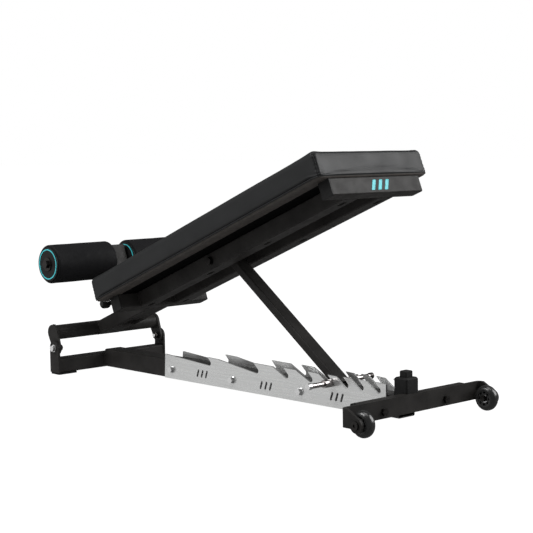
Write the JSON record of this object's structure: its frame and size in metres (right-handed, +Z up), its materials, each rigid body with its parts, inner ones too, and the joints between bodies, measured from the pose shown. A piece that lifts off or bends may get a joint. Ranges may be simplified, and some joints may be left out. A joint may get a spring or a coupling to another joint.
{
  "type": "adjustable weight bench",
  "caption": "Inclined padded bench on a hinged frame, propped by a strut whose rod drops into a toothed steel ladder, with foam leg rollers and transport wheels.",
  "frame": {"origin": "on the floor under the middle of the bench", "axes": "+X along the bench toward the transport wheels, +Z up, Y across the bench"},
  "size_m": [1.041, 0.3968, 0.5009],
  "materials": {
    "frame_paint": "black satin powder coat",
    "ladder_steel": "bright zinc plated sheet, fine brushed grain",
    "zinc_bolts": "bright zinc plated fasteners",
    "dark_bolts": "black oxide fasteners",
    "chrome_rod": "polished chrome",
    "vinyl": "black vinyl upholstery, fine grain",
    "board": "plywood with black backing cloth",
    "foam": "black closed cell foam",
    "black_plastic": "black moulded plastic",
    "knob_plastic": "glossy black moulded knob",
    "ring_cyan": "cyan accent ring",
    "rubber": "black moulded rubber",
    "urethane": "glossy black urethane tyre",
    "hub_plastic": "black nylon hub",
    "bearing_steel": "bearing steel"
  },
  "bodies": {
    "floor_frame": {"spine_tube": "frame_paint", "rear_crossbar": "frame_paint", "hinge_upright_near": "frame_paint", "hinge_upright_far": "frame_paint", "hinge_bolts": "zinc_bolts", "hinge_nuts": "dark_bolts", "rear_foot_pads": "rubber", "ladder_plate_near": "ladder_steel", "ladder_plate_far": "ladder_steel", "ladder_bolts": "zinc_bolts", "front_crossbar": "frame_paint", "crossbar_plugs": "black_plastic", "wheel_carrier": "frame_paint", "carrier_bolts": "dark_bolts", "bumper_block": "rubber", "bumper_button": "rubber", "wheel_axle_bolts": "dark_bolts"},
    "wheel_near": {"wheel_tyre_near": "urethane", "wheel_hub_near": "hub_plastic", "wheel_bearing_near": "bearing_steel"},
    "wheel_far": {"wheel_tyre_far": "urethane", "wheel_hub_far": "hub_plastic", "wheel_bearing_far": "bearing_steel"},
    "deck": {"hinge_tube": "frame_paint", "hinge_ear_near": "frame_paint", "hinge_ear_far": "frame_paint", "neck_tube": "frame_paint", "post_sleeve": "frame_paint", "rear_cross_tube": "frame_paint", "front_box_tube": "frame_paint", "tube_end_caps": "black_plastic", "deck_rail_near": "frame_paint", "deck_rail_far": "frame_paint", "pad_board": "board", "pad_bolts": "dark_bolts", "pad_cushion": "vinyl", "strut_pivot_bolt": "dark_bolts", "pivot_spacers": "black_plastic"},
    "strut": {"strut_tube": "frame_paint", "strut_rod": "chrome_rod", "rod_collars": "chrome_rod", "rod_end_cap_near": "zinc_bolts", "rod_end_cap_far": "dark_bolts"},
    "post": {"roller_post": "frame_paint", "post_cap": "black_plastic", "roller_axle": "chrome_rod", "axle_end_bolts": "dark_bolts"},
    "knob": {"lock_knob_stem": "chrome_rod", "lock_knob": "knob_plastic"},
    "roller_near": {"roller_core_near": "black_plastic", "roller_foam_near": "foam", "roller_caps_near": "black_plastic", "roller_rings_near": "ring_cyan"},
    "roller_far": {"roller_core_far": "black_plastic", "roller_foam_far": "foam", "roller_caps_far": "black_plastic", "roller_rings_far": "ring_cyan"}
  },
  "joints": [
    {"name": "deck_tilt", "type": "hinge", "parent": "floor_frame", "child": "deck", "pos_m": [-0.488, 0, 0.06], "axis": [0, -1, 0], "range_deg": [0, 21]},
    {"name": "strut_swing", "type": "hinge", "parent": "deck", "child": "strut", "pos_m": [-0.03216, 0, 0.2781], "axis": [0, 1, 0], "range_deg": [0, 34]},
    {"name": "post_slide", "type": "slide", "parent": "deck", "child": "post", "axis": [-0.3681, 0, 0.9298], "range_m": [-0.02, 0.04]},
    {"name": "knob_turn", "type": "hinge", "parent": "deck", "child": "knob", "pos_m": [-0.41362, 0, 0.16041], "axis": [0, -1, 0], "range_deg": [0, 360]},
    {"name": "roller_near_spin", "type": "hinge", "parent": "post", "child": "roller_near", "pos_m": [-0.45191, 0, 0.25711], "axis": [0, 1, 0], "continuous": true},
    {"name": "roller_far_spin", "type": "hinge", "parent": "post", "child": "roller_far", "pos_m": [-0.45191, 0, 0.25711], "axis": [0, 1, 0], "continuous": true},
    {"name": "wheel_near_spin", "type": "hinge", "parent": "floor_frame", "child": "wheel_near", "pos_m": [0.496, 0, 0.0245], "axis": [0, 1, 0], "continuous": true},
    {"name": "wheel_far_spin", "type": "hinge", "parent": "floor_frame", "child": "wheel_far", "pos_m": [0.496, 0, 0.0245], "axis": [0, 1, 0], "continuous": true}
  ],
  "couplings": [
    {"joint": "strut_swing", "follows": "deck_tilt", "ratio": 1.6}
  ]
}
